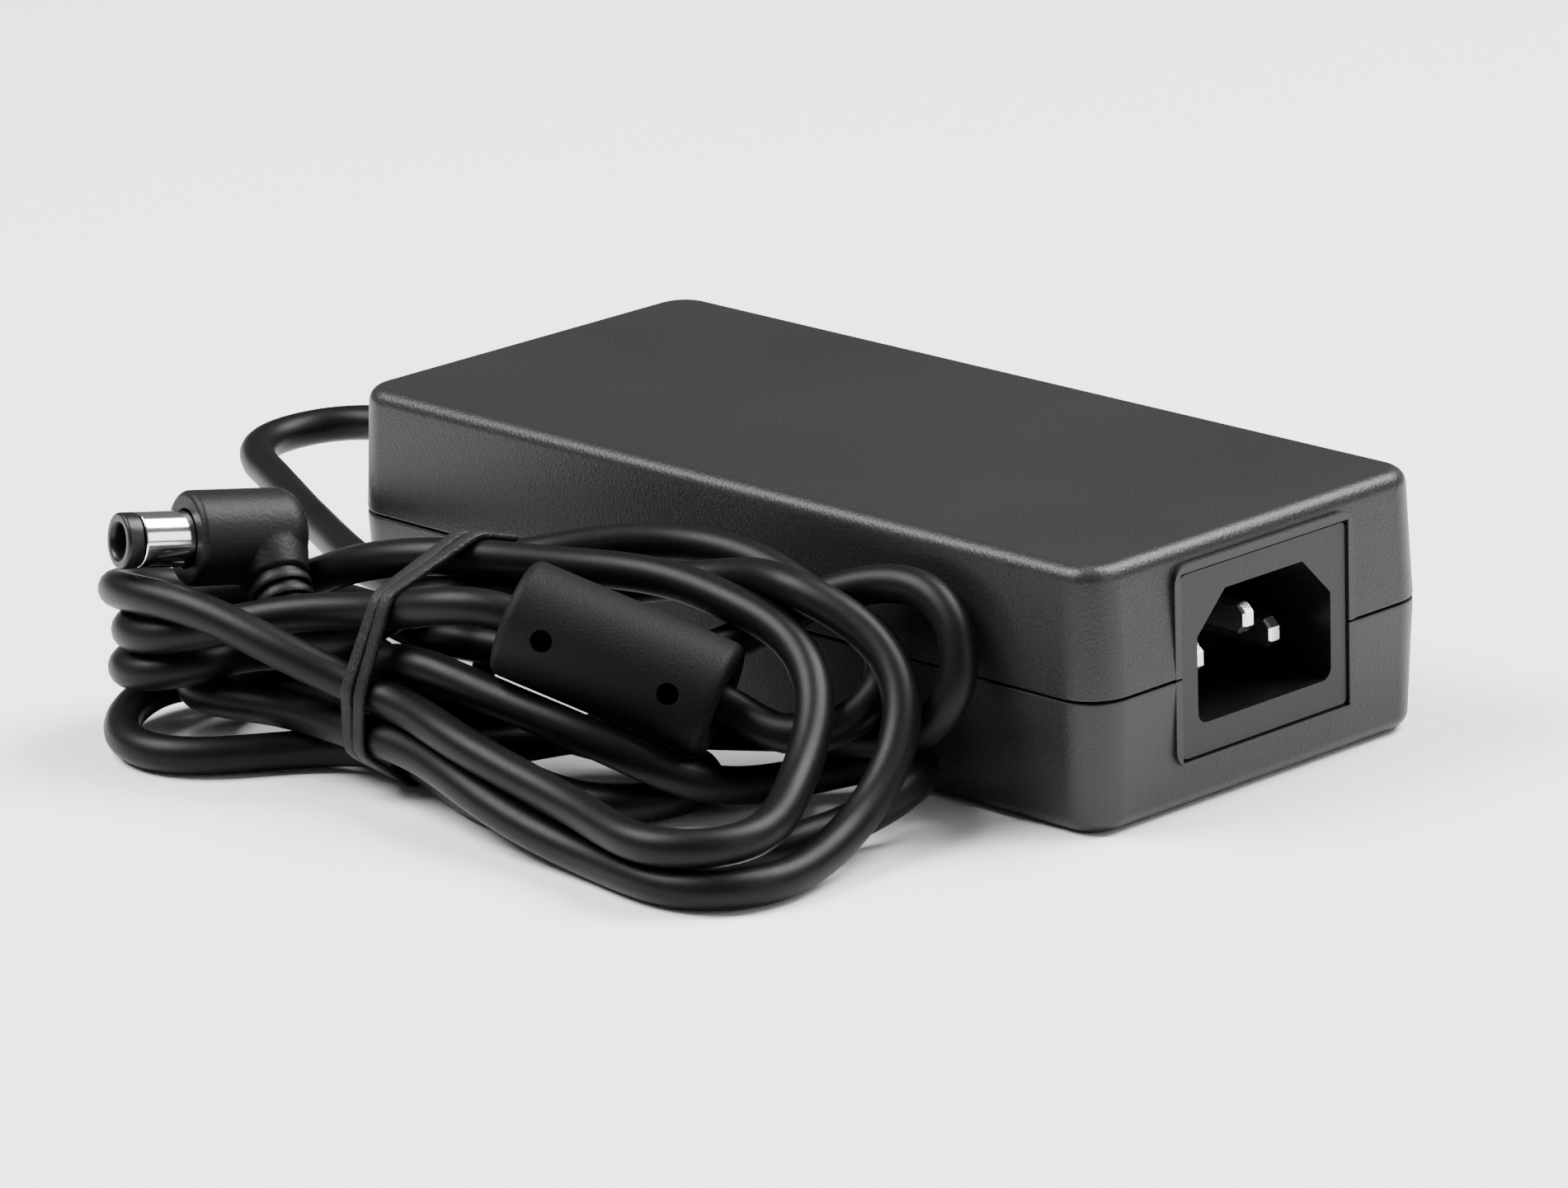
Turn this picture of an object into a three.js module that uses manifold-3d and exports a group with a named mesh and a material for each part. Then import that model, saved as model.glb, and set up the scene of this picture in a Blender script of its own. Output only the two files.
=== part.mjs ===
// Laptop power adapter with its output cord folded into a tied hank.
// Millimetres, +Z up. The origin is the bottom centre of the case: the floor is z = 0, +X points to
// the mains inlet, and the hank lies in front of the long side that faces -Y.
import * as THREE from 'three'
import { mergeVertices } from 'three/addons/utils/BufferGeometryUtils.js'
import Module from 'manifold-3d'

const wasm = await Module()
wasm.setup()

// ---------------------------------------------------------------- driving dimensions
const CASE = { length: 138, width: 64, height: 35, parting: 17.8, draft: 0.9, wall: 2.2, corner: 6 }
const EDGE = { top: 2.0, bottom: 2.2 }
const GAP = 0.3                          // clearance between touching pieces
const LIP = { inner: 1.0, height: 1.6 }  // tongue and rebate along the parting line
const INLET = { width: 31, bottom: 6.9, top: 31.2, plate: 2.2, depth: 22, floor: 3 }
const SOCKET = { width: 25.2, bottom: 10.9, top: 27.8, chamfer: 5.3, fillet: 1.6 }
const RIM = { width: 34, bottom: 6.0, top: 32.6, radius: 2.4 }
const BLADE = { height: 4, thick: 2, pitch: 14.4, live_z: 17.3, earth_z: 21.4, live: 17.4, earth: 19.5 }
const BOARD = { length: 122, width: 56, thick: 1.6, z: 5.2, x: -4 }
const CORD = { across: 5.0, sides: 12 }
const GLAND = { z: 17.8, outside: 21, neck: 4.6, flange: 6.4, root: 4.9, tip: 3.7 }
const FERRITE = { radius: 7.8, length: 29.2, wall: 1.5, edge: 1.4, bore: 2.85 }
const FERRITE_AT = { x: 13.4, y: -60.7, z: 20.1, heading: 30, slope: 20.5 }
const VENT = { radius: 1.5, spacing: 17.4, turn: 170 }
const WAIST = { x: -15.5, y: -67.5, z: 14.7, short: 10.3, long: 14.2, lean: 30 }
const BAND = { width: 4.0, thick: 1.2 }
const HANK = { left: -62, right: 55, back: -34.8, left_back: -50, front: -93.5, left_front: -93 }
const HANK_TOP = { back: 28, left: 24.6, front: 7 }
const PLUG = {
  x: -48.1, y: -69.5, z: 26.5, heading: -107, tilt: 7.5, roll: -39, radius: 6.3, length: 16,
}
const BRANCH = { radius: 4.5, length: 14, ribs: 3, offset: -2.9 }
const BARREL = { radius: 3.7, bore: 2.6, length: 9.5, tip: 2.2 }

// ---------------------------------------------------------------- materials
const plain = (color, roughness, metalness = 0) =>
  new THREE.MeshStandardMaterial({ color, roughness, metalness })
const finish = {
  shell: plain(0x1b1b1d, 0.62), socket: plain(0x141415, 0.5), blade: plain(0xb9bcc0, 0.28, 1),
  cord: plain(0x151516, 0.42), moulding: plain(0x1c1c1e, 0.6), band: plain(0x202022, 0.7),
  ferrite: plain(0x2d2c2b, 0.7), sleeve: plain(0xd4d6d9, 0.14, 1), contact: plain(0xc9a45a, 0.25, 1),
  board: plain(0x1f5a34, 0.55), sheet: plain(0xd8d6cc, 0.5), aluminium: plain(0xa9adb1, 0.4, 1),
  film: plain(0xc9a227, 0.5), copper: plain(0xb4683a, 0.4, 0.8), can: plain(0x20242c, 0.45),
  chip: plain(0x18181a, 0.6), fuse: plain(0xd9d4c3, 0.3), disc: plain(0x2f5f9e, 0.5),
  tape: plain(0xd6b53c, 0.45),
}

// ---------------------------------------------------------------- geometry helpers
const turn = Math.PI / 180

function solid(geometry) {
  const g = geometry.clone()
  g.deleteAttribute('normal')
  g.deleteAttribute('uv')
  const m = mergeVertices(g, 1e-4)
  return new wasm.Manifold(new wasm.Mesh({
    numProp: 3,
    vertProperties: new Float32Array(m.attributes.position.array),
    triVerts: new Uint32Array(m.index.array),
  }))
}

function geometryOf(manifold) {
  const mesh = manifold.getMesh()
  const g = new THREE.BufferGeometry()
  g.setAttribute('position', new THREE.BufferAttribute(new Float32Array(mesh.vertProperties), 3))
  g.setIndex(new THREE.BufferAttribute(new Uint32Array(mesh.triVerts), 1))
  return g
}

// base geometry with the cut geometries removed, after the join geometries are added
function shaped(base, { join = [], cut = [] }) {
  let body = solid(base)
  for (const g of join) body = body.add(solid(g))
  for (const g of cut) body = body.subtract(solid(g))
  return geometryOf(body)
}

const moved = (g, x, y, z) => g.clone().translate(x, y, z)
const block = (x0, x1, y0, y1, z0, z1) =>
  new THREE.BoxGeometry(x1 - x0, y1 - y0, z1 - z0)
    .translate((x0 + x1) / 2, (y0 + y1) / 2, (z0 + z1) / 2)

// closed profile [radius, height] turned about Z
const turned = (profile, sides = 24) =>
  new THREE.LatheGeometry(profile.map(([r, h]) => new THREE.Vector2(r, h)), sides).rotateX(Math.PI / 2)
const ringProfile = (outer, inner, z0, z1) =>
  [[inner, z0], [outer, z0], [outer, z1], [inner, z1], [inner, z0]]

function roundedRect(width, height, radius, steps = 4) {
  const shape = new THREE.Shape()
  const [w, h, r] = [width / 2, height / 2, radius]
  shape.moveTo(w, -h + r)
  shape.lineTo(w, h - r)
  shape.absarc(w - r, h - r, r, 0, Math.PI / 2)
  shape.absarc(-w + r, h - r, r, Math.PI / 2, Math.PI)
  shape.absarc(-w + r, -h + r, r, Math.PI, 1.5 * Math.PI)
  shape.absarc(w - r, -h + r, r, 1.5 * Math.PI, 2 * Math.PI)
  shape.curveSegments = steps
  return shape
}

// outline in the XY plane raised along Z
const raised = (shape, z0, z1, steps = 6) =>
  new THREE.ExtrudeGeometry(shape, { depth: z1 - z0, bevelEnabled: false, curveSegments: steps })
    .translate(0, 0, z0)

// outline drawn in (y, z) and drawn out along X
const alongX = (shape, x0, x1, steps = 6) =>
  new THREE.ExtrudeGeometry(shape, { depth: x1 - x0, bevelEnabled: false, curveSegments: steps })
    .rotateX(Math.PI / 2).rotateZ(Math.PI / 2).translate(x0, 0, 0)

// skin over level rounded-rectangle rings: each level is { z, inset }
function ringed(levels, cornerSteps = 5) {
  const rings = levels.map(({ z, inset }) => {
    const r = Math.max(CASE.corner - inset, 0.8)
    const [w, h] = [CASE.length / 2 - inset - r, CASE.width / 2 - inset - r]
    const ring = []
    for (const [sx, sy, start] of [[1, 1, 0], [-1, 1, 90], [-1, -1, 180], [1, -1, 270]]) {
      for (let i = 0; i <= cornerSteps; i++) {
        const a = (start + 90 * i / cornerSteps) * turn
        ring.push([sx * w + r * Math.cos(a), sy * h + r * Math.sin(a), z])
      }
    }
    return ring
  })
  const count = rings[0].length
  const points = rings.flat()
  const faces = []
  for (let k = 0; k < rings.length - 1; k++) {
    for (let i = 0; i < count; i++) {
      const [a, b] = [k * count + i, k * count + (i + 1) % count]
      faces.push(a, b, b + count, a, b + count, a + count)
    }
  }
  const last = (rings.length - 1) * count
  for (let i = 1; i < count - 1; i++) faces.push(0, i + 1, i, last, last + i, last + i + 1)
  const g = new THREE.BufferGeometry()
  g.setAttribute('position', new THREE.BufferAttribute(new Float32Array(points.flat()), 3))
  g.setIndex(faces)
  return g
}

// ---------------------------------------------------------------- case shells
const insetAt = (z) => {
  const reach = z > CASE.parting ? CASE.height - CASE.parting : CASE.parting
  return CASE.draft * Math.abs(z - CASE.parting) / reach
}

// outside of the case between two heights, with the long edges rounded
function caseLevels(z0, z1) {
  const levels = []
  const roundEdge = (radius, z, up) => {
    for (let i = 0; i <= 4; i++) {
      const a = (up ? i : 4 - i) * Math.PI / 8
      const level = z + (up ? 1 : -1) * (radius * Math.sin(a) - radius)
      levels.push({ z: level, inset: insetAt(z) + radius * (1 - Math.cos(a)) })
    }
  }
  if (z0 === 0) roundEdge(EDGE.bottom, 0, false)
  else levels.push({ z: z0, inset: insetAt(z0) })
  if (z1 === CASE.height) roundEdge(EDGE.top, CASE.height, true)
  else levels.push({ z: z1, inset: insetAt(z1) })
  return levels
}

const cavity = (z0, z1) => ringed([z0, CASE.parting, z1].map((z) => ({ z, inset: CASE.wall + insetAt(z) })), 4)
const rimBlock = (z0, z1) => {
  const shape = roundedRect(RIM.width, RIM.top - RIM.bottom, RIM.radius)
  const middle = (RIM.top + RIM.bottom) / 2
  const rim = alongX(shape, CASE.length / 2 - 4, CASE.length / 2, 4).translate(0, 0, middle)
  return geometryOf(solid(rim).intersect(solid(block(0, 80, -40, 40, z0, z1))))
}
const inletHole = () => block(
  CASE.length / 2 - 8, CASE.length / 2 + 1, -INLET.width / 2 - GAP, INLET.width / 2 + GAP,
  INLET.bottom - GAP, INLET.top + GAP,
)
const glandHole = () =>
  new THREE.CylinderGeometry(GLAND.neck + GAP, GLAND.neck + GAP, 12, 24).rotateZ(Math.PI / 2)
    .translate(-CASE.length / 2, 0, GLAND.z)

function upperCase() {
  const seam = CASE.parting + GAP / 2
  const rebate = ringed([
    { z: seam - 1, inset: LIP.inner }, { z: seam + LIP.height + GAP, inset: LIP.inner },
  ])
  return shaped(ringed(caseLevels(seam, CASE.height)), {
    join: [rimBlock(seam, RIM.top + 1)],
    cut: [cavity(CASE.parting - 11, CASE.height - CASE.wall), rebate, inletHole(), glandHole()],
  })
}

function lowerCase() {
  const seam = CASE.parting - GAP / 2
  const tongue = ringed([
    { z: seam - 2, inset: LIP.inner + GAP }, { z: seam + LIP.height, inset: LIP.inner + GAP },
  ])
  return shaped(ringed(caseLevels(0, seam)), {
    join: [rimBlock(RIM.bottom - 1, seam), tongue],
    cut: [cavity(CASE.wall, CASE.parting + 5), inletHole(), glandHole()],
  })
}

// ---------------------------------------------------------------- mains inlet
function socketOutline(grow = 0) {
  const { width, bottom, top, chamfer, fillet } = SOCKET
  const [w, b, t] = [width / 2 + grow, bottom - grow, top + grow]
  const shape = new THREE.Shape()
  shape.moveTo(-w + fillet, b)
  shape.lineTo(w - fillet, b)
  shape.absarc(w - fillet, b + fillet, fillet, -Math.PI / 2, 0)
  shape.lineTo(w, t - chamfer)
  shape.lineTo(w - chamfer, t)
  shape.lineTo(-w + chamfer, t)
  shape.lineTo(-w, t - chamfer)
  shape.absarc(-w + fillet, b + fillet, fillet, Math.PI, 1.5 * Math.PI)
  return shape
}

const bladePlaces = [
  ['earth_pin', 0, BLADE.earth_z, BLADE.earth], ['line_pin', BLADE.pitch / 2, BLADE.live_z, BLADE.live],
  ['neutral_pin', -BLADE.pitch / 2, BLADE.live_z, BLADE.live],
]
const inletFace = CASE.length / 2 - 0.35
const inletBack = inletFace - INLET.depth

function inletBody() {
  const plate = roundedRect(INLET.width, INLET.top - INLET.bottom, 0.8)
  const plateSolid = alongX(plate, inletFace - INLET.plate, inletFace, 3)
    .translate(0, 0, (INLET.top + INLET.bottom) / 2)
  const slots = bladePlaces.map(([, y, z]) => block(
    inletBack - 1, inletFace - 10, y - BLADE.thick / 2 - GAP, y + BLADE.thick / 2 + GAP,
    z - BLADE.height / 2 - GAP, z + BLADE.height / 2 + GAP,
  ))
  return shaped(plateSolid, {
    join: [alongX(socketOutline(1.3), inletBack, inletFace - INLET.plate / 2, 3)],
    cut: [alongX(socketOutline(), inletBack + INLET.floor, inletFace + 1, 3), ...slots],
  })
}

// flat blade with a chamfered tip, running from the solder tail out to the socket mouth
function blade(length) {
  const [h, tip] = [BLADE.height / 2, 1.1]
  const shape = new THREE.Shape()
  shape.moveTo(0, -h)
  shape.lineTo(length - tip, -h)
  shape.lineTo(length, -h + tip)
  shape.lineTo(length, h - tip)
  shape.lineTo(length - tip, h)
  shape.lineTo(0, h)
  const edge = 0.3
  return new THREE.ExtrudeGeometry(shape, {
    depth: BLADE.thick - 2 * edge, bevelThickness: edge, bevelSize: edge, bevelOffset: -edge, bevelSegments: 1,
  }).rotateX(Math.PI / 2).translate(0, BLADE.thick / 2 - edge, 0)
}

// ---------------------------------------------------------------- board and components
const deck = BOARD.z + BOARD.thick + GAP
const can = (radius, height, groove = 1.2) => turned([
  [0, 0], [radius - 0.6, 0], [radius, 0.6], [radius, groove + 1], [radius - 0.5, groove + 1.5],
  [radius, groove + 2], [radius, height - 0.7], [radius - 0.7, height], [0, height],
], 20)
const chipBody = (length, width, height) => new THREE.ExtrudeGeometry(roundedRect(length, width, 0.5), {
  depth: height - 0.8, bevelThickness: 0.4, bevelSize: 0.4, bevelOffset: -0.4, bevelSegments: 1, curveSegments: 2,
}).translate(0, 0, 0.4)

// package with a metal tab and a fixing hole, lying back against a spreader that faces +Y
function powerPackage() {
  const tab = roundedRect(10, 15.5, 0.6)
  const hole = new THREE.Path().absarc(0, 5.2, 1.8, 0, 2 * Math.PI, true)
  tab.holes.push(hole)
  const plate = raised(tab, 0, 1.3, 5)
  return shaped(plate, { join: [moved(chipBody(10, 9.5, 4.2), 0, -3, 0.6)] })
    .rotateX(Math.PI / 2).translate(0, 0, 7.75)
}

// upright spreader with a foot that turns in under the parts
function spreader(length) {
  const shape = new THREE.Shape()
  const points = [[0, 0], [7, 0], [7, 1.5], [1.5, 1.5], [1.5, 21], [0, 21]]
  points.forEach(([y, z], i) => (i ? shape.lineTo(y, z) : shape.moveTo(y, z)))
  return alongX(shape, -length / 2, length / 2)
}

function chokeCore() {
  return new THREE.TorusGeometry(7.6, 2.6, 10, 28).rotateY(Math.PI / 2)
}

// one closed winding hugging part of the choke ring
function chokeWinding(start) {
  const turns = []
  for (let i = 0; i <= 8; i++) {
    const a = (start + i * 14) * turn
    turns.push(new THREE.Vector3(0, 7.6 * Math.cos(a), 7.6 * Math.sin(a)))
  }
  const ring = new THREE.Shape().absarc(0, 0, 4.1, 0, 2 * Math.PI)
  ring.holes.push(new THREE.Path().absarc(0, 0, 3.0, 0, 2 * Math.PI, true))
  return new THREE.ExtrudeGeometry(ring, {
    extrudePath: new THREE.CatmullRomCurve3(turns), steps: 8, curveSegments: 6, bevelEnabled: false,
  })
}

const CORE = { length: 28, height: 20, leg: 5, centre: 8, depth: 11 }

// E-core pair: outer frame and centre leg, with two windows
function transformerCore() {
  const [x, y, z] = [CORE.length / 2, CORE.depth / 2, CORE.height / 2]
  const windows = [-1, 1].map((side) => {
    const [near, far] = [side * CORE.centre / 2, side * (x - CORE.leg)]
    return block(Math.min(near, far), Math.max(near, far), -y - 1, y + 1, 4 - z, z - 4)
  })
  return shaped(block(-x, x, -y, y, -z, z), { cut: windows })
}

function transformerWinding() {
  const window = (CORE.length - 2 * CORE.leg - CORE.centre) / 2
  const outer = roundedRect(CORE.centre + 2 * window - 2 * GAP, CORE.depth + 2 * window, 3, 4)
  const inner = roundedRect(CORE.centre + 2 * GAP, CORE.depth + 2 * GAP, 0.4, 1)
  outer.holes.push(new THREE.Path(inner.getPoints(1).reverse()))
  return raised(outer, -CORE.height / 2 + 4 + GAP, CORE.height / 2 - 4 - GAP, 4)
}

const fuseTube = () => turned([
  [0, 0], [2.6, 0], [2.6, 5], [2.2, 5.2], [2.2, 14.8], [2.6, 15], [2.6, 20], [0, 20],
], 14)

// ---------------------------------------------------------------- output cord and what is on it
const section = (radius, sides) => {
  const shape = new THREE.Shape()
  for (let i = 0; i < sides; i++) {
    const a = 2 * Math.PI * (i + 0.5) / sides
    const [x, y] = [radius * Math.cos(a), radius * Math.sin(a)]
    if (i) shape.lineTo(x, y)
    else shape.moveTo(x, y)
  }
  return shape
}

function strainRelief() {
  const [bore, collar, ribs, groove] = [CORD.across / 2 + GAP, 1.8, 5, 0.75]
  const pitch = (GLAND.outside - 3) / ribs
  const profile = [
    [bore, -6], [GLAND.flange, -6], [GLAND.flange, -3.4], [GLAND.neck, -3.4], [GLAND.neck, 0.4],
    [GLAND.root + 1.1, 0.4], [GLAND.root + 1.1, collar],
  ]
  for (let i = 0; i < ribs; i++) {
    const r = GLAND.root + (GLAND.tip - GLAND.root) * i / ribs
    const h = collar + i * pitch
    profile.push([r, h + 0.1], [r, h + pitch * 0.62])
    profile.push([r - groove, h + pitch * 0.68], [r - groove, h + pitch * 0.94])
  }
  profile.push([GLAND.tip, GLAND.outside - 1.1], [GLAND.tip, GLAND.outside], [bore, GLAND.outside], [bore, -6])
  return turned(profile, 20).rotateY(-Math.PI / 2).translate(-CASE.length / 2, 0, GLAND.z)
}

// route of the free cord from inside the case to the hank: straight out, one open bend towards the
// hank, then a straight run that sags a little
const LEAD_ROUTE = [
  [-64, 0, 17.8], [-72, 0, 17.8], [-80, 0, 17.8], [-88, 0, 17.8], [-94.5, 0, 17.7],
  [-99.3, -1.1, 17.5], [-103.3, -4.2, 17.2], [-105.5, -8.6, 16.9], [-105.6, -13.6, 16.7],
  [-103.5, -18, 16.6], [-99.4, -21.5, 16.5],
  [-92.5, -25.2, 16.5], [-84.5, -29.4, 16.5], [-76.5, -33.7, 16.6], [-68.5, -37.9, 16.8], [-60, -42.4, 17.1],
  [-52.5, -46.2, 17.4],
]

function cordLead() {
  const path = new THREE.CatmullRomCurve3(LEAD_ROUTE.map((p) => new THREE.Vector3(...p)))
  return new THREE.ExtrudeGeometry(section(CORD.across / 2, CORD.sides), {
    extrudePath: path, steps: 28, bevelEnabled: false,
  })
}

// plan outline of the folded cord: two lobes joined by the waist inside the band
function hankOutline() {
  const { left, right, back, front } = HANK
  const lean = WAIST.lean * turn
  const reach = Math.hypot(WAIST.short * Math.cos(lean), WAIST.long * Math.sin(lean))
  const [low, high] = [WAIST.y - reach, WAIST.y + reach]
  const shape = new THREE.Shape()
  shape.moveTo(WAIST.x, low)
  shape.bezierCurveTo(WAIST.x + 14, low - 2, WAIST.x + 22, front + 9, 20, front + 8)
  shape.bezierCurveTo(44, front + 7, right, front + 10, right, (front + back) / 2)
  shape.bezierCurveTo(right, back + 5, 50, back, 26, back)
  shape.bezierCurveTo(2, back, WAIST.x + 10, back + 2, WAIST.x, high)
  shape.bezierCurveTo(WAIST.x - 8, high + 4, -38, HANK.left_back, -43, HANK.left_back)
  shape.bezierCurveTo(left, HANK.left_back, left, -60, left, -74)
  shape.bezierCurveTo(left, HANK.left_front + 6, left + 6, HANK.left_front, -46, HANK.left_front)
  shape.bezierCurveTo(-36, HANK.left_front, WAIST.x - 8, low - 2, WAIST.x, low)
  return shape
}

// oval section of the waist, its top leaning towards the case
const waistOutline = (grow) => {
  const [short, long, lean] = [WAIST.short + grow, WAIST.long + grow, WAIST.lean * turn]
  return new THREE.Shape().absellipse(WAIST.y, WAIST.z, short, long, 0, 2 * Math.PI, false, -lean)
}

// the ferrite is drawn along Z, then laid along its heading with its far end down
const onFerrite = (g) => g.clone().rotateY(Math.PI / 2 + FERRITE_AT.slope * turn)
  .rotateZ(FERRITE_AT.heading * turn).translate(FERRITE_AT.x, FERRITE_AT.y, FERRITE_AT.z)

// what is taken off the top: level over the left lobe, sloping down to the front over the right one
function aboveHank() {
  const [far, high] = [80, 60]
  const slope = new THREE.Shape()
  slope.moveTo(HANK.back + 8, HANK_TOP.back)
  slope.lineTo(HANK.back - 5, HANK_TOP.back)
  slope.lineTo(HANK.front + 9, HANK_TOP.front)
  slope.lineTo(HANK.front - 8, HANK_TOP.front)
  slope.lineTo(HANK.front - 8, high)
  slope.lineTo(HANK.back + 8, high)
  const right = solid(alongX(slope, WAIST.x + 5, far))
  return right.add(solid(block(-far, WAIST.x + 6, HANK.front - 9, HANK.back + 9, HANK_TOP.left, high)))
}

// clear hole that the free cord ends in
function leadSocket() {
  const [from, to] = LEAD_ROUTE.slice(-2).map((p) => new THREE.Vector3(...p))
  const ahead = to.clone().sub(from).normalize()
  const start = from.clone().addScaledVector(ahead, -12)
  const end = to.clone().addScaledVector(ahead, GAP)
  return new THREE.ExtrudeGeometry(section(CORD.across / 2 + GAP, CORD.sides), {
    extrudePath: new THREE.LineCurve3(start, end), steps: 1, bevelEnabled: false,
  })
}

function cordHank() {
  const halfBand = BAND.width / 2 + GAP
  const bandSpace = block(
    WAIST.x - halfBand, WAIST.x + halfBand, HANK.front - 2, HANK.back + 2, -1, HANK_TOP.back + 3,
  )
  const [half, clear] = [FERRITE.length / 2 + GAP, FERRITE.radius + GAP]
  const pocket = onFerrite(new THREE.CylinderGeometry(clear, clear, 2 * half, 24).rotateX(Math.PI / 2))
  const overPocket = onFerrite(block(-20, 0, -clear, clear, -half, half))
  const neck = alongX(waistOutline(-GAP), WAIST.x - 4, WAIST.x + 4, 8)
  const cuts = [pocket, overPocket, plugSeat(), leadSocket()].map(solid)
  const lobes = solid(raised(hankOutline(), 0, HANK_TOP.back + 1, 5)).subtract(solid(bandSpace))
  let body = lobes.subtract(aboveHank()).add(solid(neck))
  for (const cut of cuts) body = body.subtract(cut)
  return geometryOf(body)
}

function tieBand() {
  const ring = waistOutline(BAND.thick)
  ring.holes.push(new THREE.Path(waistOutline(0).getPoints(14).reverse()))
  const half = BAND.width / 2
  const band = alongX(ring, WAIST.x - half, WAIST.x + half, 14)
  const outer = waistOutline(BAND.thick + 0.5)
  outer.holes.push(new THREE.Path(waistOutline(BAND.thick - 0.35).getPoints(14).reverse()))
  return shaped(band, { cut: [alongX(outer, WAIST.x - 0.15, WAIST.x + 0.15, 14)] })
}

function ferriteCover() {
  const { radius: r, length, wall, edge, bore } = FERRITE
  const half = length / 2
  const profile = [[bore, -half], [r - edge, -half]]
  for (let i = 1; i <= 3; i++) {
    const a = i * Math.PI / 6
    profile.push([r - edge + edge * Math.sin(a), -half + edge - edge * Math.cos(a)])
  }
  const upper = profile.slice().reverse().map(([q, h]) => [q, -h])
  const end = half - wall - 0.6
  const inner = [[bore, end], [r - wall, end], [r - wall, -end], [bore, -end]]
  const body = turned([...profile, ...upper, ...inner, profile[0]], 32)
  const drills = [-1, 1].map((side) => new THREE.CylinderGeometry(VENT.radius, VENT.radius, 5, 14)
    .translate(0, r, 0).rotateZ(VENT.turn * turn).translate(0, 0, side * VENT.spacing / 2))
  return shaped(body, { cut: drills })
}

const ferriteCore = () => {
  const half = FERRITE.length / 2 - 2.6
  return turned(ringProfile(FERRITE.radius - FERRITE.wall - GAP, FERRITE.bore, -half, half), 24)
}

// plug pieces are drawn with the barrel along +X, the branch along +Y, and the body centre at 0
const domed = (radius, z0, z1, dome) => {
  const profile = [[0, z0]]
  for (let i = 1; i <= 5; i++) {
    const a = i * Math.PI / 10
    profile.push([radius - dome + dome * Math.sin(a), z0 + dome * (1 - Math.cos(a))])
  }
  for (let i = 0; i <= 2; i++) {
    const a = i * Math.PI / 4
    profile.push([radius - 0.9 + 0.9 * Math.cos(a), z1 - 0.9 + 0.9 * Math.sin(a)])
  }
  return [...profile, [0, z1]]
}

function plugBody() {
  const half = PLUG.length / 2
  const body = turned(domed(PLUG.radius, -half, half, 3.2), 28).rotateY(Math.PI / 2)
  const branchProfile = [[0, 0], [BRANCH.radius + 0.4, 0], [BRANCH.radius, BRANCH.length - 6.5]]
  const pitch = 2.1
  for (let i = 0; i < BRANCH.ribs; i++) {
    const h = BRANCH.length - 6.3 + i * pitch
    const r = BRANCH.radius - 0.15 * (i + 1)
    branchProfile.push([r - 0.6, h], [r - 0.6, h + 0.7], [r, h + 0.8], [r - 0.1, h + pitch - 0.1])
  }
  branchProfile.push([0, BRANCH.length])
  const branch = turned(branchProfile, 24).rotateX(-Math.PI / 2).translate(BRANCH.offset, 0, 0)
  const socket = new THREE.CylinderGeometry(BARREL.radius + GAP, BARREL.radius + GAP, 6, 24)
    .rotateZ(Math.PI / 2).translate(half, 0, 0)
  const cordHole = new THREE.CylinderGeometry(CORD.across / 2 + GAP, CORD.across / 2 + GAP, 6, 24)
    .translate(BRANCH.offset, BRANCH.length, 0)
  return shaped(body, { join: [branch], cut: [socket, cordHole] })
}

const barrelStart = PLUG.length / 2 - 3 + GAP
const barrelEnd = PLUG.length / 2 + BARREL.length
const sleeveEnd = barrelEnd - BARREL.tip
const plugSleeve = () => turned(
  ringProfile(BARREL.radius, BARREL.bore + 0.5, barrelStart, sleeveEnd - GAP), 28,
).rotateY(Math.PI / 2)
const plugInsulator = () => turned([
  [BARREL.bore - 0.5, barrelStart + 3], [BARREL.bore + 0.2, barrelStart + 3], [BARREL.bore + 0.2, sleeveEnd],
  [BARREL.radius, sleeveEnd], [BARREL.radius, barrelEnd - 0.3], [BARREL.radius - 0.3, barrelEnd],
  [BARREL.bore, barrelEnd], [BARREL.bore - 0.5, barrelEnd - 0.8], [BARREL.bore - 0.5, barrelStart + 3],
], 28).rotateY(Math.PI / 2)
const plugContact = () => turned([
  [0, barrelStart + 0.2], [1.6, barrelStart + 0.2], [1.6, barrelStart + 2], [0.5, barrelStart + 2],
  [0.5, barrelEnd - 2], [0.2, barrelEnd - 1.5], [0, barrelEnd - 1.5],
], 12).rotateY(Math.PI / 2)

function plugSeat() {
  const body = new THREE.CylinderGeometry(PLUG.radius + 1, PLUG.radius + 1, PLUG.length + 2, 20)
    .rotateZ(Math.PI / 2)
  const branch = new THREE.CylinderGeometry(BRANCH.radius + 1, BRANCH.radius + 1, BRANCH.length + GAP, 20)
    .translate(BRANCH.offset, BRANCH.length / 2 + 0.15, 0)
  const barrel = new THREE.CylinderGeometry(BARREL.radius + 0.8, BARREL.radius + 0.8, BARREL.length + 4, 20)
    .rotateZ(Math.PI / 2).translate(PLUG.length / 2 + BARREL.length / 2, 0, 0)
  const seat = geometryOf(solid(body).add(solid(branch)).add(solid(barrel)))
  seat.applyMatrix4(plugPlace)
  return seat
}

const plugPlace = new THREE.Matrix4().makeRotationZ(PLUG.heading * turn)
  .multiply(new THREE.Matrix4().makeRotationY(-PLUG.tilt * turn))
  .multiply(new THREE.Matrix4().makeRotationX(PLUG.roll * turn))
  .setPosition(PLUG.x, PLUG.y, PLUG.z)

// ---------------------------------------------------------------- assembly
const group = new THREE.Group()
function add(name, geometry, material, parent = group) {
  const mesh = new THREE.Mesh(geometry, material)
  mesh.name = name
  parent.add(mesh)
  return mesh
}

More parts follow.
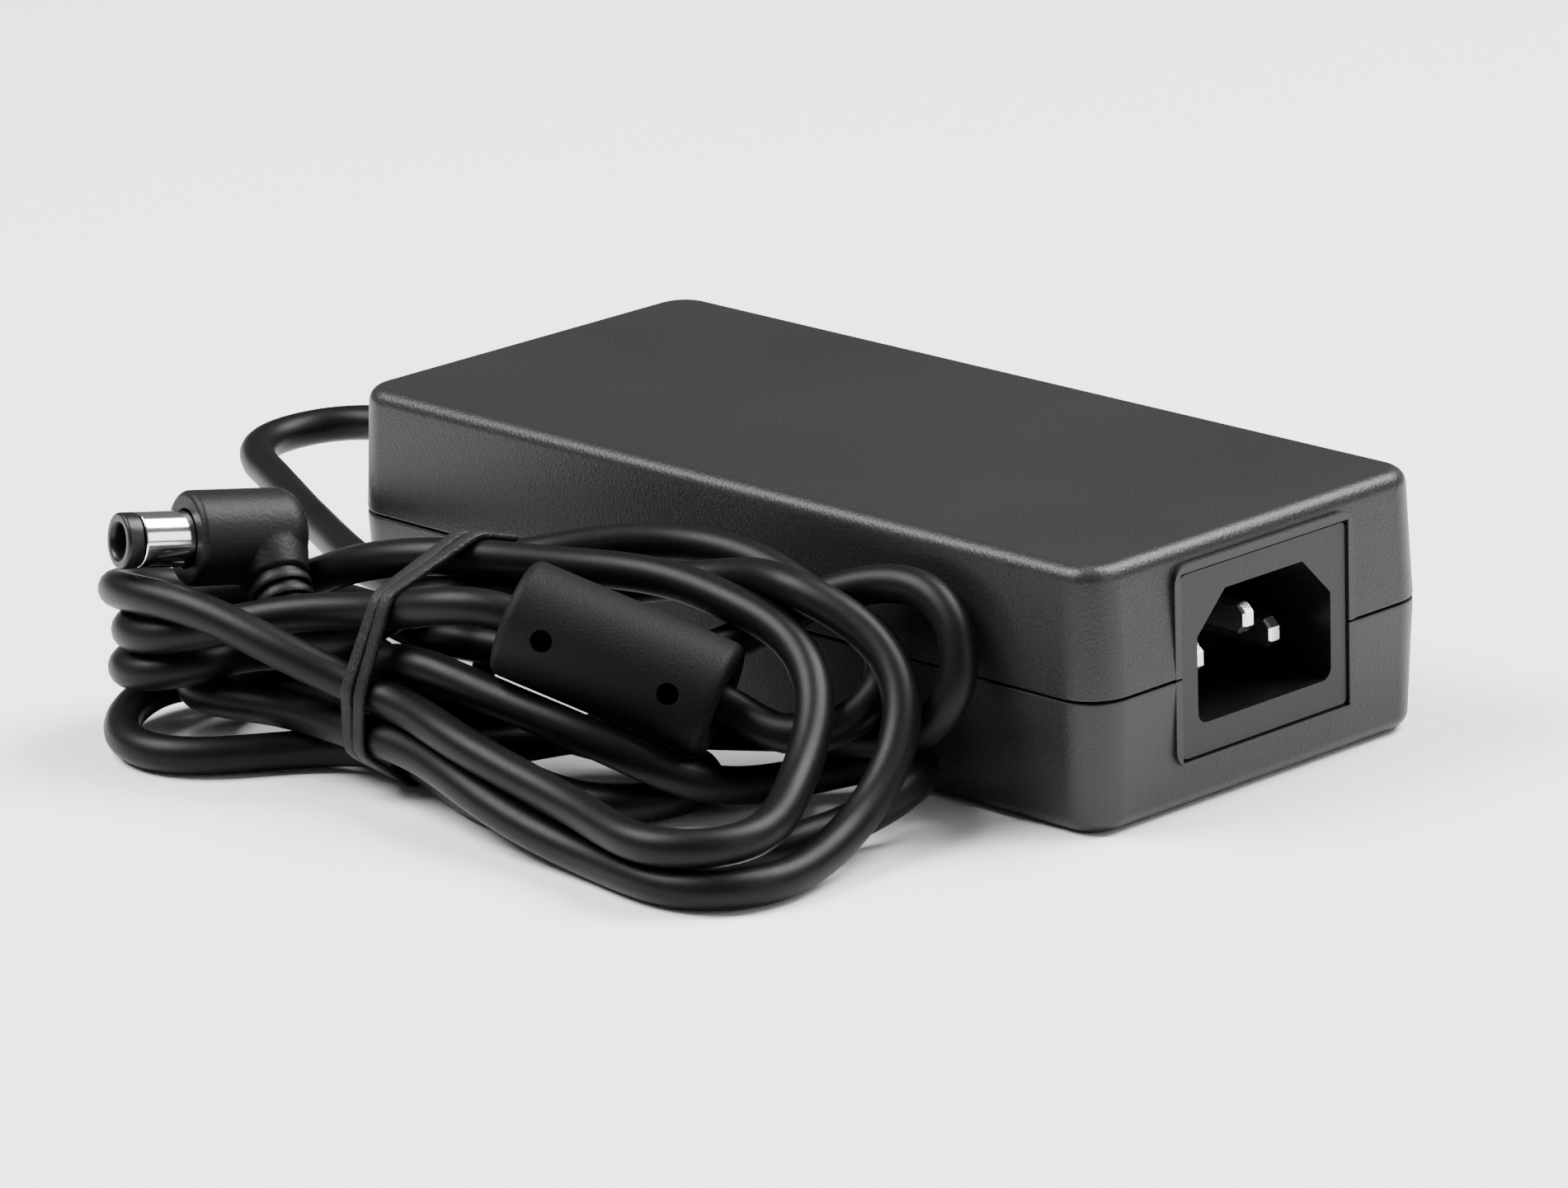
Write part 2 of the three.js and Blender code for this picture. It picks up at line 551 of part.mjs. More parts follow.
add('upper_case', upperCase(), finish.shell)
add('lower_case', lowerCase(), finish.shell)
add('inlet_body', inletBody(), finish.socket)
for (const [name, y, z, reach] of bladePlaces) {
  const tail = 4
  add(name, blade(tail + reach), finish.blade).position.set(inletBack - tail, y, z)
}

add('circuit_board', raised(roundedRect(BOARD.length, BOARD.width, 1.5), 0, BOARD.thick, 3), finish.board)
  .position.set(BOARD.x, 0, BOARD.z)
add('insulation_sheet', raised(roundedRect(BOARD.length + 1, BOARD.width + 1, 2), 0, 0.4, 3), finish.sheet)
  .position.set(BOARD.x, 0, CASE.wall + 1)
add('primary_spreader', spreader(46), finish.aluminium).position.set(14, -26.8, deck)
const secondary = add('secondary_spreader', spreader(38), finish.aluminium)
secondary.position.set(-38, 26.8, deck)
secondary.rotation.z = Math.PI
add('switching_transistor', powerPackage(), finish.chip).position.set(22, -19.4, deck + 1.8)
const rectifier = add('output_rectifier', powerPackage(), finish.chip)
rectifier.position.set(-44, 19.4, deck + 1.8)
rectifier.rotation.z = Math.PI
const fuse = add('mains_fuse', fuseTube().rotateY(Math.PI / 2), finish.fuse)
fuse.position.set(22, 24.6, deck + 2.8)
add('x_capacitor', chipBody(18, 8.5, 15), finish.film).position.set(33, 14.5, deck)
add('choke_core', chokeCore(), finish.ferrite).position.set(37, -4.5, deck + 12)
add('choke_winding_line', chokeWinding(34), finish.copper).position.set(37, -4.5, deck + 12)
add('choke_winding_neutral', chokeWinding(214), finish.copper).position.set(37, -4.5, deck + 12)
add('bridge_rectifier', chipBody(3.6, 15, 12), finish.chip).position.set(27, -4.5, deck)
add('bulk_capacitor', can(9, 32).rotateY(Math.PI / 2), finish.can).position.set(-9.5, 15.5, deck + 9.4)
add('transformer_core', transformerCore(), finish.ferrite).position.set(2, -8.5, deck + CORE.height / 2)
add('transformer_winding', transformerWinding(), finish.tape).position.set(2, -8.5, deck + CORE.height / 2)
for (const [i, y] of [-14, -2.5].entries()) {
  add(`output_capacitor_${i + 1}`, can(5, 20), finish.can).position.set(-34, y, deck)
}
add('output_choke', new THREE.TorusGeometry(5.2, 2.4, 10, 22).rotateX(Math.PI / 2), finish.copper)
  .position.set(-49, -10, deck + 7.8)
const disc = [[0, 0], [4, 0], [4.6, 0.8], [4.6, 2.4], [4, 3.2], [0, 3.2]]
add('y_capacitor', turned(disc, 16).rotateX(Math.PI / 2), finish.disc).position.set(-20.5, -22, deck + 4.9)
add('optocoupler', chipBody(6.5, 4.6, 3.5), finish.chip).position.set(-21, 0.5, deck)
add('controller_chip', chipBody(5, 4, 1.7), finish.chip).position.set(-21, -10, deck)

add('cord_strain_relief', strainRelief(), finish.moulding)
add('cord_lead', cordLead(), finish.cord)
add('cord_hank', cordHank(), finish.cord)
add('tie_band', tieBand(), finish.band)
add('ferrite_cover', onFerrite(ferriteCover()), finish.moulding)
add('ferrite_core', onFerrite(ferriteCore()), finish.ferrite)

const plug = new THREE.Group()
plug.applyMatrix4(plugPlace)
group.add(plug)
add('plug_body', plugBody(), finish.moulding, plug)
add('plug_sleeve', plugSleeve(), finish.sleeve, plug)
add('plug_insulator', plugInsulator(), finish.socket, plug)
add('plug_contact', plugContact(), finish.contact, plug)

export default group
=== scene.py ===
import math

import bmesh
import bpy
import numpy as np
from mathutils import Matrix, Vector


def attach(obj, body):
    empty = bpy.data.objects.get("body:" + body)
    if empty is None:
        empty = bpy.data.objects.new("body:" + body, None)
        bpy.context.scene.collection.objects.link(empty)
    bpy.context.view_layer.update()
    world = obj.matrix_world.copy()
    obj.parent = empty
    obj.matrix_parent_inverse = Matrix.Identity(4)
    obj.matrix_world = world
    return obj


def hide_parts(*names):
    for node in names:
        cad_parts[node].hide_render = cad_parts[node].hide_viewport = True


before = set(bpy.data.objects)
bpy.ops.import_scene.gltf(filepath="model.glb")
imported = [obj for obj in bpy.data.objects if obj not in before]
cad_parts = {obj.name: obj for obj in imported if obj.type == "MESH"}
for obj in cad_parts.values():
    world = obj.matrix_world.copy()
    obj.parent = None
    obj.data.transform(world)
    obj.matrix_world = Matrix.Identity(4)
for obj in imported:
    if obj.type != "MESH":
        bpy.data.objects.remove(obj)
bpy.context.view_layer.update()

MM = 0.001


# The camera, at the photograph's viewing angle. Angles in degrees, lengths in mm.

CAMERA_AT = (-18.07, 0.0, 8.06)      # what the middle of the picture shows
CAMERA_AZIMUTH = 45.54
CAMERA_ELEVATION = 17.09
CAMERA_ROLL = -1.71
CAMERA_DISTANCE = 1117.9
CAMERA_LENS = 191.1


def make_camera():
    az, el, roll = (math.radians(a) for a in (CAMERA_AZIMUTH, CAMERA_ELEVATION, CAMERA_ROLL))
    back = Vector((math.sin(az) * math.cos(el), -math.cos(az) * math.cos(el), math.sin(el)))
    level = (-back).cross(Vector((0, 0, 1))).normalized()
    upright = level.cross(-back)
    right = level * math.cos(roll) + upright * math.sin(roll)
    up = upright * math.cos(roll) - level * math.sin(roll)
    data = bpy.data.cameras.new("camera")
    data.lens = CAMERA_LENS
    data.sensor_width = 36
    data.clip_end = 20
    camera = bpy.data.objects.new("camera", data)
    turn = Matrix((right, up, back)).transposed().to_4x4()
    place = (Vector(CAMERA_AT) + back * CAMERA_DISTANCE) * MM
    camera.matrix_world = Matrix.Translation(place) @ turn
    bpy.context.scene.collection.objects.link(camera)
    bpy.context.scene.camera = camera


make_camera()


# The cord's route, in mm. The lead is the one that the CAD tube follows.

CORD = 5.0                # diameter
STEP = 2.5                # between the samples that are settled
LEAST_RADIUS = 11.0       # of a bend
FLOOR_HEIGHT = CORD / 2
CASE_SIDE = -34.6         # where the cord's centreline lies when it touches the case's side
TOUCH = CORD + 0.05       # between the centrelines of two strands that touch
LEAD_SAMPLES = 44         # at the start, held where the CAD's lead lies
CASE_SAMPLES = 41         # at the start, which come out of the case and so don't lie beside it
PLUG_SAMPLES = 7          # at the end, inside the plug's branch

LEAD_ROUTE = [
    (-64, 0, 17.8), (-72, 0, 17.8), (-80, 0, 17.8), (-88, 0, 17.8), (-94.5, 0, 17.7),
    (-99.3, -1.1, 17.5), (-103.3, -4.2, 17.2), (-105.5, -8.6, 16.9), (-105.6, -13.6, 16.7),
    (-103.5, -18, 16.6), (-99.4, -21.5, 16.5), (-92.5, -25.2, 16.5), (-84.5, -29.4, 16.5),
    (-76.5, -33.7, 16.6), (-68.5, -37.9, 16.8), (-60, -42.4, 17.1), (-52.5, -46.2, 17.4),
]
# The hank, in the order that the cord runs.
HANK_ROUTE = [
    # the lead's end, rising into the waist
    (-44, -49.5, 17.5), (-35, -52.5, 19.5), (-25, -54.5, 23), (-15.5, -54.5, 25.5),
    # along the back, over the top and round to the ferrite
    (-7.5, -47, 27.5), (-5, -43, 28), (-1.5, -39.5, 28), (5.5, -36.5, 27.5), (14.5, -35.5, 27),
    (24.5, -35.5, 26), (31, -36.5, 24.5), (34.5, -37, 22), (37, -38.5, 19), (39.5, -41, 16.5),
    (41.5, -44.5, 14.5), (40.5, -48, 13), (36.5, -50.5, 13),
    # through the ferrite, right to left
    (30, -51, 13), (26.5, -53, 14.5), (19, -57.5, 17.5), (13.5, -60.5, 20), (7.5, -64, 22.5),
    (1, -68, 25.5),
    # from the ferrite to the left
    (0, -70, 26.5), (-3.5, -71.5, 26), (-8, -71.5, 25), (-16, -71.5, 23), (-22, -72.5, 22),
    (-30.5, -73.5, 20.5), (-37.5, -76, 19), (-42.5, -79, 18), (-46.5, -81.5, 17),
    (-50.5, -84, 16.5), (-53, -86, 16),
    # second fold on the left
    (-58, -80.5, 15.5), (-59, -73, 15.5), (-56, -66, 16), (-49.5, -62, 17.5), (-43, -61.5, 20),
    # over the top of the waist to the right
    (-38, -62.5, 22.5), (-32.5, -63, 24.5), (-26, -62.5, 26), (-21, -61, 27), (-15.5, -59.5, 27.5),
    (-11, -57, 27), (-7, -54, 27), (-0, -50.5, 27), (6.5, -47.5, 26.5), (15, -46, 26.5),
    # the inner of the two big loops, and back to the waist
    (19.5, -45.5, 25.5), (28, -46.5, 24), (34.5, -48, 21), (38, -50, 18), (41, -53.5, 15),
    (43, -57.5, 12), (46, -64, 9.5), (48.5, -71, 8), (50, -78, 7.5), (48.5, -82, 7.5),
    (42, -82.5, 7.5), (31, -81.5, 8), (20.5, -80.5, 9), (9.5, -80, 10.5), (4.5, -79.5, 11.5),
    (-3, -79.5, 12.5), (-15.5, -75.5, 13),
    # over the front of the left end
    (-16.5, -78, 14), (-23.5, -80, 16.5), (-30.5, -82, 19), (-38.5, -83.5, 20.5),
    (-45.5, -83.5, 21.5), (-50, -84, 21.5), (-53, -86, 21.5),
    # topmost fold on the left, back to the waist
    (-58, -82, 20), (-62, -76, 17.5), (-63.5, -69, 16), (-61.5, -62, 15), (-55.5, -57.5, 15),
    (-47, -56.5, 15), (-38, -57.5, 16), (-27, -60.5, 17), (-15.5, -63.5, 18.5),
    # round the rightmost loop, beside the case
    (-5, -60.5, 17.5), (4, -54.5, 15.5), (12, -48, 16.5), (19, -41.5, 20.5), (27, -36.5, 25),
    (35, -35.5, 27.5), (42.5, -35.5, 27.5), (47.5, -35.5, 26), (51, -36, 24), (51.5, -36.5, 21),
    (51, -37, 18), (49, -38.5, 15), (46, -40, 13), (39, -41, 11), (33.5, -42.5, 9.5),
    (24, -46, 9.5), (14, -52, 8.5), (4, -58, 8), (-6, -63, 5.5), (-15.5, -65, 4),
    # lowest fold on the left
    (-28, -63.5, 3.5), (-40, -60.5, 3), (-50, -59.5, 3.5), (-58, -63, 4), (-61.5, -70, 4),
    (-61.5, -78, 3), (-57, -82.5, 2.5), (-51.5, -87, 2.5), (-46.5, -89.5, 2.5), (-42.5, -89, 2.5),
    (-39, -86.5, 2.5), (-36, -82.5, 2.5), (-33.5, -78.5, 2.5), (-30.5, -74.5, 2.5),
    (-23.5, -72.5, 3), (-15.5, -70, 4),
    # along the floor to the right, folded back over itself
    (-3, -74.5, 3), (10, -76.5, 2.5), (22, -77, 2.5), (34, -74, 2.5), (44, -65, 2.5),
    (44, -58.5, 2.5), (45, -53, 3), (47, -49.5, 4), (48, -46.5, 5.5), (47.5, -43, 6.5),
    (45, -39, 7), (39, -35, 6), (34.5, -36, 4.5), (30.5, -40, 3), (28, -45, 3), (26.5, -51.5, 4.5),
    (25, -60, 7.5), (19.5, -65, 10), (13.5, -68.5, 12.5), (4.5, -70.5, 14.5), (-5.5, -72, 16),
    (-15.5, -72.5, 17.5),
    # third strand on the left
    (-23, -72, 15.5), (-35, -67.5, 13), (-42, -67.5, 12), (-45, -69.5, 11.5), (-46.5, -73, 11),
    (-46.5, -77, 11.5), (-48, -79.5, 11), (-49.5, -83.5, 11), (-50.5, -87.5, 10.5),
    # third fold on the left
    (-56, -82, 10.5), (-58.5, -75, 10.5), (-57, -67.5, 10.5), (-51, -62.5, 10.5),
    (-42, -61.5, 10.5), (-29, -63.5, 10), (-15.5, -65.5, 9),
    # the short fold hidden under the ferrite
    (-6, -58.5, 7), (3, -52.5, 3.5), (11, -48, 3), (18, -49.5, 3), (21.5, -57, 3), (18, -64.5, 3),
    (9, -68.5, 3), (-3, -70, 6), (-15.5, -71, 9),
    # back to the left, low down
    (-27, -66.5, 8), (-37, -59, 7.5), (-46, -57.5, 7.5), (-53, -62, 7.5), (-55, -69.5, 7.5),
    (-52, -76.5, 7.5),
    # the low strand in front on the left
    (-47.5, -78, 7.5), (-44.5, -76, 7.5), (-41.5, -75.5, 7.5), (-34, -75.5, 7.5), (-26, -76.5, 7.5),
    (-17.5, -78, 8), (-15.5, -76.5, 8.5),
    # the outer of the two big loops
    (5, -80.5, 7), (13.5, -81.5, 5), (23, -81, 3), (34, -82, 2.5), (44.5, -82.5, 2.5),
    (51.5, -80, 2.5), (53, -74, 2.5), (52, -65, 3), (51, -58, 5), (50, -52, 7.5), (49, -47.5, 11.5),
    (48, -45, 15.5), (45.5, -42.5, 18), (42.5, -41, 21.5), (38, -40.5, 24), (32, -40.5, 25.5),
    (25, -41, 26.5), (19.5, -41.5, 26.5),
    # over the top of the waist to the plug
    (10.5, -42, 25.5), (3.5, -45, 25), (-3.5, -48.5, 23), (-9, -53, 22), (-12.5, -57.5, 23),
    (-15.5, -60.5, 22.5), (-19, -63, 21.5), (-24.5, -65.5, 20.5), (-27.5, -68.5, 20),
    (-31, -70.5, 16),
]

# What lies on the cord, in mm and degrees, as part.mjs places it.

FERRITE = {
    "at": (13.4, -60.7, 20.1), "heading": 30, "slope": 20.5, "radius": 7.8, "half": 14.6,
    "bore": 2.85, "edge": 1.4, "wall": 1.5, "vent_radius": 1.45, "vent_at": 8.7, "vent_turn": 80,
}
PLUG = {
    "at": (-48.1, -69.5, 26.5), "heading": -107, "tilt": 7.5, "roll": -39, "radius": 6.3,
    "half": 8.0, "branch_at": -2.9, "branch_radius": 4.5, "branch": 14.0,
    "sleeve_radius": 3.7, "sleeve_end": 16.5,
}


def turned(axis, degrees):
    return np.array(Matrix.Rotation(math.radians(degrees), 3, axis))


FERRITE_PLACE = np.array(FERRITE["at"])
FERRITE_TURN = turned("Z", FERRITE["heading"]) @ turned("Y", FERRITE["slope"])
FERRITE_AXIS = FERRITE_TURN[:, 0]
PLUG_PLACE = np.array(PLUG["at"])
PLUG_TURN = turned("Z", PLUG["heading"]) @ turned("Y", -PLUG["tilt"]) @ turned("X", PLUG["roll"])


def on_plug(along, beside):
    """A point of the plug: along its barrel, and beside it along its branch."""
    return PLUG_PLACE + PLUG_TURN @ np.array((along, beside, 0.0))


def smooth_line(points, per_span):
    """A Catmull-Rom curve through the points, with knots by the square root of their distance."""
    ends = [2 * points[0] - points[1], *points, 2 * points[-1] - points[-2]]
    out = []
    for a, b, c, d in zip(ends, ends[1:], ends[2:], ends[3:]):
        ta = 0.0
        tb = ta + math.sqrt(np.linalg.norm(b - a))
        tc = tb + math.sqrt(np.linalg.norm(c - b))
        td = tc + math.sqrt(np.linalg.norm(d - c))
        for t in np.linspace(tb, tc, per_span, endpoint=False):
            ab = ((tb - t) * a + (t - ta) * b) / (tb - ta)
            bc = ((tc - t) * b + (t - tb) * c) / (tc - tb)
            cd = ((td - t) * c + (t - tc) * d) / (td - tc)
            abc = ((tc - t) * ab + (t - ta) * bc) / (tc - ta)
            bcd = ((td - t) * bc + (t - tb) * cd) / (td - tb)
            out.append(((tc - t) * abc + (t - tb) * bcd) / (tc - tb))
    out.append(np.array(points[-1], float))
    return np.array(out)


def even_steps(line, step):
    """The same line with its points about a step apart."""
    gone = np.r_[0, np.cumsum(np.linalg.norm(np.diff(line, axis=0), axis=1))]
    at = np.linspace(0, gone[-1], int(round(gone[-1] / step)) + 1)
    return np.stack([np.interp(at, gone, line[:, k]) for k in range(3)], axis=1)


def push_off_rod(line, a, b, radius, free=None):
    """Moves the samples out of a round-ended rod from a to b."""
    length = np.linalg.norm(b - a)
    along = (b - a) / length
    t = (line - a) @ along
    away = line - a - np.clip(t, 0, length)[:, None] * along
    far = np.linalg.norm(away, axis=1)
    hit = far < radius + CORD / 2
    if free is not None:
        hit &= ~free
    push = 0.5 * (radius + CORD / 2 - far[hit]) / np.maximum(far[hit], 1e-6)
    line[hit] += push[:, None] * away[hit]


def push_off_ferrite(line, threaded):
    """Moves the samples out of the ferrite by the shorter way, except those threaded through it."""
    t = (line - FERRITE_PLACE) @ FERRITE_AXIS
    away = line - FERRITE_PLACE - t[:, None] * FERRITE_AXIS
    far = np.linalg.norm(away, axis=1)
    beside = FERRITE["radius"] + CORD / 2 - far
    beyond = FERRITE["half"] + CORD / 2 - abs(t)
    hit = (beside > 0) & (beyond > 0) & ~threaded
    out = hit & (beside <= beyond)
    line[out] += (0.5 * beside[out] / np.maximum(far[out], 1e-6))[:, None] * away[out]
    out = hit & (beside > beyond)
    line[out] += (0.5 * beyond[out] * np.sign(t[out]))[:, None] * FERRITE_AXIS


def push_off_case(line):
    """Keeps the samples near the case's long side in front of it."""
    beside = (abs(line[:, 0]) < 71) & (line[:, 1] > -40) & (line[:, 1] < -25)
    beside[:CASE_SAMPLES] = False
    line[beside, 1] = np.minimum(line[beside, 1], CASE_SIDE)


def settle(home, held, threaded, rounds=800, last_free=150, hold=0.015, bend=0.3):
    """The cord springs out of sharp bends, keeps its length, and lies on itself and on what it
    touches, while a weak pull keeps it to its route."""
    line = home.copy()
    branch_at = PLUG["branch_at"]
    first, second = np.triu_indices(len(line), k=5)
    at_end = np.zeros(len(line), bool)
    at_end[-PLUG_SAMPLES:] = True
    for turn in range(rounds):
        sag = np.zeros_like(line)
        sag[1:-1] = (line[:-2] + line[2:]) / 2 - line[1:-1]
        stiff = np.zeros_like(line)
        stiff[1:-1] = (sag[:-2] + sag[2:]) / 2 - sag[1:-1]
        new = line - bend * stiff
        if turn < rounds - last_free:
            new += hold * (home - new)
        span = np.diff(new, axis=0)
        size = np.linalg.norm(span, axis=1, keepdims=True)
        pull = 0.25 * (size - STEP) * span / size
        new[:-1] += pull
        new[1:] -= pull
        for k in (1, 2, 3):
            most = (k * STEP) ** 2 / (2 * LEAST_RADIUS)
            off = (new[:-2 * k] + new[2 * k:]) / 2 - new[k:-k]
            size = np.linalg.norm(off, axis=1)
            off *= np.maximum(0, 1 - most / np.maximum(size, 1e-9))[:, None]
            new[k:-k] += 0.4 * off
            new[:-2 * k] -= 0.2 * off
            new[2 * k:] -= 0.2 * off
        apart = new[second] - new[first]
        size = np.linalg.norm(apart, axis=1)
        near = (size < TOUCH) & (size > 1e-6)
        push = (0.25 * (TOUCH - size[near]) / size[near])[:, None] * apart[near]
        np.add.at(new, second[near], push)
        np.add.at(new, first[near], -push)
        push_off_ferrite(new, threaded)
        push_off_rod(new, on_plug(-3, 0), on_plug(3, 0), PLUG["radius"])
        push_off_rod(new, on_plug(branch_at, 0), on_plug(branch_at, 12.5), 4.3, at_end)
        push_off_rod(new, on_plug(8, 0), on_plug(PLUG["sleeve_end"], 0), PLUG["sleeve_radius"])
        push_off_case(new)
        new[:, 2] = np.maximum(new[:, 2], FLOOR_HEIGHT)
        new[held] = home[held]
        line = new
    return line


def cord_line():
    """The settled centreline of the whole cord, in mm, a millimetre or so between points."""
    branch = [on_plug(PLUG["branch_at"], 15.5), on_plug(PLUG["branch_at"], 11)]
    points = [np.array(p, float) for p in LEAD_ROUTE + HANK_ROUTE] + branch
    home = even_steps(smooth_line(points, 10), STEP)
    t = (home - FERRITE_PLACE) @ FERRITE_AXIS
    far = np.linalg.norm(home - FERRITE_PLACE - t[:, None] * FERRITE_AXIS, axis=1)
    threaded = (abs(t) < FERRITE["half"] + 2) & (far < 3.5)
    held = threaded & (abs(t) < FERRITE["half"])
    held[:LEAD_SAMPLES] = True
    held[-3:] = True
    return even_steps(smooth_line(settle(home, held, threaded), 4), 1.25)


CORD_LINE = cord_line()


# Materials. Each has a broad drift of tone, a fine grain in its relief and an uneven roughness.

def link(tree, start, end):
    tree.links.new(start, end)


def surface(name, dark, light, rough, drift=40, grain=2500, relief=0.3, depth=0.00005,
            metal=0.0, stretch=(1, 1, 1), specular=0.5):
    """dark and light are greys or colours, drift and grain features per metre, depth metres."""
    mat = bpy.data.materials.new(name)
    mat.use_nodes = True
    tree = mat.node_tree
    new = tree.nodes.new
    shader = tree.nodes["Principled BSDF"]
    shader.inputs["Metallic"].default_value = metal
    shader.inputs["Specular IOR Level"].default_value = specular

    place = new("ShaderNodeTexCoord")
    scale = new("ShaderNodeMapping")
    scale.inputs["Scale"].default_value = stretch
    link(tree, place.outputs["Object"], scale.inputs["Vector"])

    broad = new("ShaderNodeTexNoise")
    broad.inputs["Scale"].default_value = drift
    broad.inputs["Detail"].default_value = 5
    link(tree, scale.outputs["Vector"], broad.inputs["Vector"])
    fine = new("ShaderNodeTexNoise")
    fine.inputs["Scale"].default_value = grain
    fine.inputs["Detail"].default_value = 3
    link(tree, scale.outputs["Vector"], fine.inputs["Vector"])

    both = new("ShaderNodeMath")
    both.operation = "MULTIPLY_ADD"
    both.inputs[1].default_value = 0.7
    link(tree, fine.outputs["Fac"], both.inputs[0])
    half = new("ShaderNodeMath")
    half.operation = "MULTIPLY"
    half.inputs[1].default_value = 0.3
    link(tree, broad.outputs["Fac"], half.inputs[0])
    link(tree, half.outputs["Value"], both.inputs[2])

    tone = new("ShaderNodeValToRGB")
    tone.color_ramp.elements[0].position = 0.35
    tone.color_ramp.elements[1].position = 0.65
    for element, colour in zip(tone.color_ramp.elements, (dark, light)):
        rgb = (colour,) * 3 if isinstance(colour, float) else colour
        element.color = (*rgb, 1)
    link(tree, both.outputs["Value"], tone.inputs["Fac"])
    link(tree, tone.outputs["Color"], shader.inputs["Base Color"])

    gloss = new("ShaderNodeMapRange")
    gloss.inputs["From Min"].default_value = 0.3
    gloss.inputs["From Max"].default_value = 0.7
    gloss.inputs["To Min"].default_value = rough * 0.93
    gloss.inputs["To Max"].default_value = min(1.0, rough * 1.08)
    link(tree, both.outputs["Value"], gloss.inputs["Value"])
    link(tree, gloss.outputs["Result"], shader.inputs["Roughness"])

    pits = new("ShaderNodeTexVoronoi")
    pits.inputs["Scale"].default_value = grain * 0.8
    link(tree, scale.outputs["Vector"], pits.inputs["Vector"])
    height = new("ShaderNodeMath")
    height.operation = "ADD"
    link(tree, fine.outputs["Fac"], height.inputs[0])
    link(tree, pits.outputs["Distance"], height.inputs[1])
    bump = new("ShaderNodeBump")
    bump.inputs["Strength"].default_value = relief
    bump.inputs["Distance"].default_value = depth
    link(tree, height.outputs["Value"], bump.inputs["Height"])
    link(tree, bump.outputs["Normal"], shader.inputs["Normal"])
    return mat


LOOKS = {
    "case": surface("case", 0.0050, 0.0095, 0.42, specular=0.32, drift=25, grain=3000,
                    relief=0.5, depth=0.00006),
    "inlet_plastic": surface("inlet_plastic", 0.0020, 0.0040, 0.36, specular=0.26, grain=1800,
                             relief=0.25),
    "pin_metal": surface("pin_metal", 0.62, 0.78, 0.24, metal=1.0, grain=900, stretch=(1, 6, 6)),
    "board": surface("board", (0.015, 0.10, 0.035), (0.03, 0.16, 0.06), 0.45, grain=1200),
    "sheet": surface("sheet", 0.60, 0.70, 0.5, grain=700),
    "spreader": surface("spreader", 0.50, 0.62, 0.36, metal=1.0, grain=700, stretch=(1, 8, 1)),
    "chip": surface("chip", 0.012, 0.020, 0.55, grain=3000),
    "fuse": surface("fuse", (0.62, 0.58, 0.48), (0.75, 0.71, 0.60), 0.3, grain=1500),
    "film": surface("film", (0.52, 0.35, 0.03), (0.66, 0.45, 0.05), 0.45, grain=1500),
    # near black: the ferrite's own dark grey, darkened further as painted shade so the vent holes
    # in the ferrite's cover read black
    "ferrite_ceramic": surface("ferrite_ceramic", 0.0006, 0.0014, 0.8, grain=2200, relief=0.4,
                               specular=0.04),
    "copper": surface("copper", (0.45, 0.17, 0.07), (0.62, 0.26, 0.11), 0.35, metal=1.0,
                      grain=1300, stretch=(1, 1, 5)),
    "capacitor_can": surface("capacitor_can", (0.014, 0.018, 0.03), (0.03, 0.036, 0.055), 0.4),
    "winding_tape": surface("winding_tape", (0.62, 0.44, 0.05), (0.78, 0.58, 0.10), 0.4,
                            grain=1100),
    "disc_ceramic": surface("disc_ceramic", (0.03, 0.11, 0.34), (0.06, 0.18, 0.48), 0.45),
    "moulding": surface("moulding", 0.0024, 0.0048, 0.5, specular=0.18, drift=120, grain=2300,
                        relief=0.4, depth=0.00006),
    "cord_jacket": surface("cord_jacket", 0.0014, 0.0024, 0.44, specular=0.13, drift=90,
                           grain=1500, relief=0.10, depth=0.00004),
    "elastic": surface("elastic", 0.0025, 0.005, 0.5, specular=0.22, drift=300, grain=1900,
                       relief=0.7, depth=0.00012, stretch=(4, 1, 1)),
    "sleeve_metal": surface("sleeve_metal", 0.76, 0.84, 0.12, metal=1.0, drift=90, grain=1500,
                            relief=0.012, depth=0.00001),
    "contact_metal": surface("contact_metal", (0.6, 0.42, 0.16), (0.75, 0.56, 0.24), 0.22,
                             metal=1.0, grain=900),
}
FERRITE_COAT = surface("ferrite_coat", 0.0012, 0.0030, 0.6, specular=0.12, drift=150, grain=3200,
                       relief=0.4, depth=0.0001)

SLOT_OF = {
    "upper_case": "case", "lower_case": "case", "inlet_body": "inlet_plastic",
    "earth_pin": "pin_metal", "line_pin": "pin_metal", "neutral_pin": "pin_metal",
    "circuit_board": "board", "insulation_sheet": "sheet", "primary_spreader": "spreader",
    "secondary_spreader": "spreader", "switching_transistor": "chip",
    "output_rectifier": "chip", "mains_fuse": "fuse", "x_capacitor": "film",
    "choke_core": "ferrite_ceramic", "choke_winding_line": "copper",
    "choke_winding_neutral": "copper", "bridge_rectifier": "chip",
    "bulk_capacitor": "capacitor_can", "transformer_core": "ferrite_ceramic",
    "transformer_winding": "winding_tape", "output_capacitor_1": "capacitor_can",
    "output_capacitor_2": "capacitor_can", "output_choke": "ferrite_ceramic",
    "y_capacitor": "disc_ceramic", "optocoupler": "chip", "controller_chip": "chip",
    "cord_strain_relief": "moulding", "cord_lead": "cord_jacket", "cord_hank": "cord_jacket",
    "tie_band": "elastic", "ferrite_cover": "moulding", "ferrite_core": "ferrite_ceramic",
    "plug_body": "moulding", "plug_sleeve": "sleeve_metal", "plug_insulator": "inlet_plastic",
    "plug_contact": "contact_metal",
}
for name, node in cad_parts.items():
    for place in node.material_slots:
        place.material = LOOKS[SLOT_OF[name]]


# Mesh helpers

